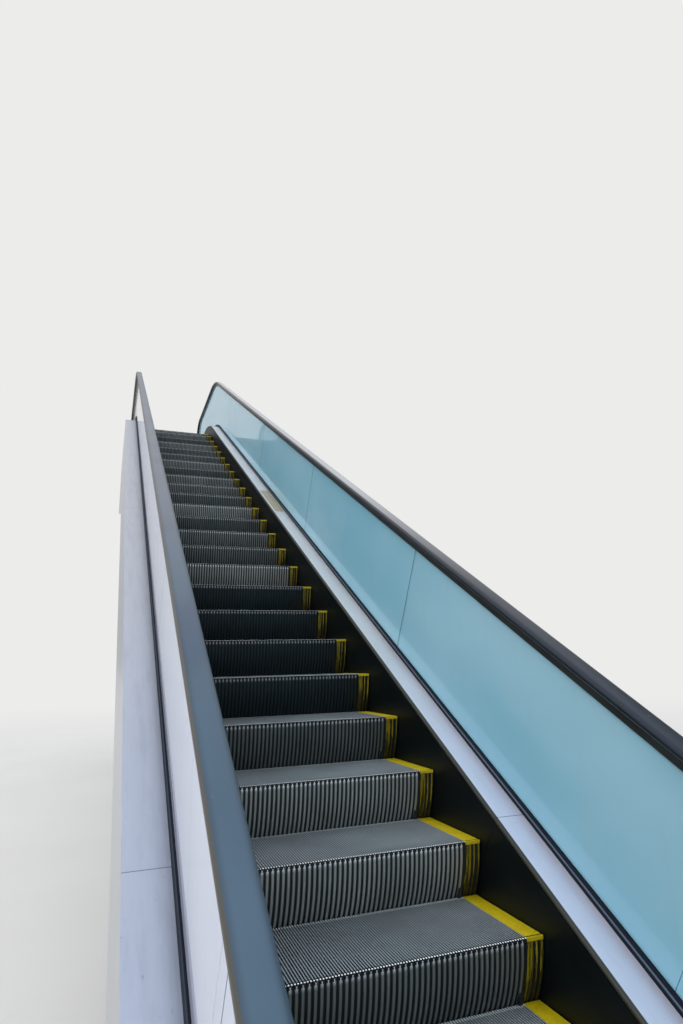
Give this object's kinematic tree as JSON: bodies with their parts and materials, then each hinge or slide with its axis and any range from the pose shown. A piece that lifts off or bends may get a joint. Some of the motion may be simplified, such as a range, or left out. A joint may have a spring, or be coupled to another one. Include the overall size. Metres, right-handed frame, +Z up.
{
  "type": "escalator",
  "caption": "Single flight escalator with ribbed black steps, glass balustrades, black handrails, wide steel decks and a closed truss underneath.",
  "frame": {"origin": "lower working point: below the corner where the sloping nosing line meets the lower landing level, midway between the balustrades, on the underside of the base pan", "axes": "+Z up, +Y in the direction in which the flight climbs, +X to the right of a person who looks up the flight"},
  "size_m": [1.6, 14.9069, 6.48],
  "materials": {
    "structure_steel": "satin grey paint over rolled steel",
    "floor_plate": "ribbed, satin",
    "comb_casting": "cast, satin",
    "step_casting": "black paint over a ribbed casting, worn bright along the nose",
    "yellow_edge": "yellow, worn on the ribs",
    "skirt_panel": "black, low friction coating, satin",
    "deck_sheet": "brushed lengthwise",
    "glass_gasket": "smooth, matt",
    "tinted_glass": "toughened, blue green tint",
    "rail_guide": "anodised grey",
    "handrail_rubber": "smooth, semi gloss",
    "inlet_cowl": "fine grained",
    "cladding_sheet": "ground and polished"
  },
  "bodies": {
    "root": {"lower_base_pan": "structure_steel", "lower_landing_frame": "structure_steel", "lower_floor_plates": "floor_plate", "lower_comb_plate": "floor_plate", "lower_comb": "comb_casting", "upper_landing_frame": "structure_steel", "upper_floor_plates": "floor_plate", "upper_comb_plate": "floor_plate", "upper_comb": "comb_casting", "upper_end_frame": "structure_steel", "steps_lower_landing": "step_casting", "steps_flight_1": "step_casting", "steps_flight_2": "step_casting", "steps_flight_3": "step_casting", "steps_flight_4": "step_casting", "steps_flight_5": "step_casting", "steps_upper_landing": "step_casting", "yellow_edges_left": "yellow_edge", "yellow_edges_right": "yellow_edge", "step_tracks": "structure_steel", "truss_left": "structure_steel", "truss_right": "structure_steel", "cross_beams": "structure_steel", "skirt_left": "skirt_panel", "skirt_right": "skirt_panel", "inner_deck_left": "deck_sheet", "inner_deck_right": "deck_sheet", "outer_deck_left": "deck_sheet", "outer_deck_right": "deck_sheet", "glass_clamp_left": "structure_steel", "glass_clamp_right": "structure_steel", "glass_gasket_left": "glass_gasket", "glass_gasket_right": "glass_gasket", "glass_left": "tinted_glass", "glass_right": "tinted_glass", "handrail_guide_left": "rail_guide", "handrail_guide_right": "rail_guide", "handrail_left": "handrail_rubber", "handrail_right": "handrail_rubber", "handrail_inlets_lower": "inlet_cowl", "handrail_inlets_upper": "inlet_cowl", "side_cladding_left": "cladding_sheet", "side_cladding_right": "cladding_sheet", "soffit_panels": "cladding_sheet"}
  },
  "joints": []
}
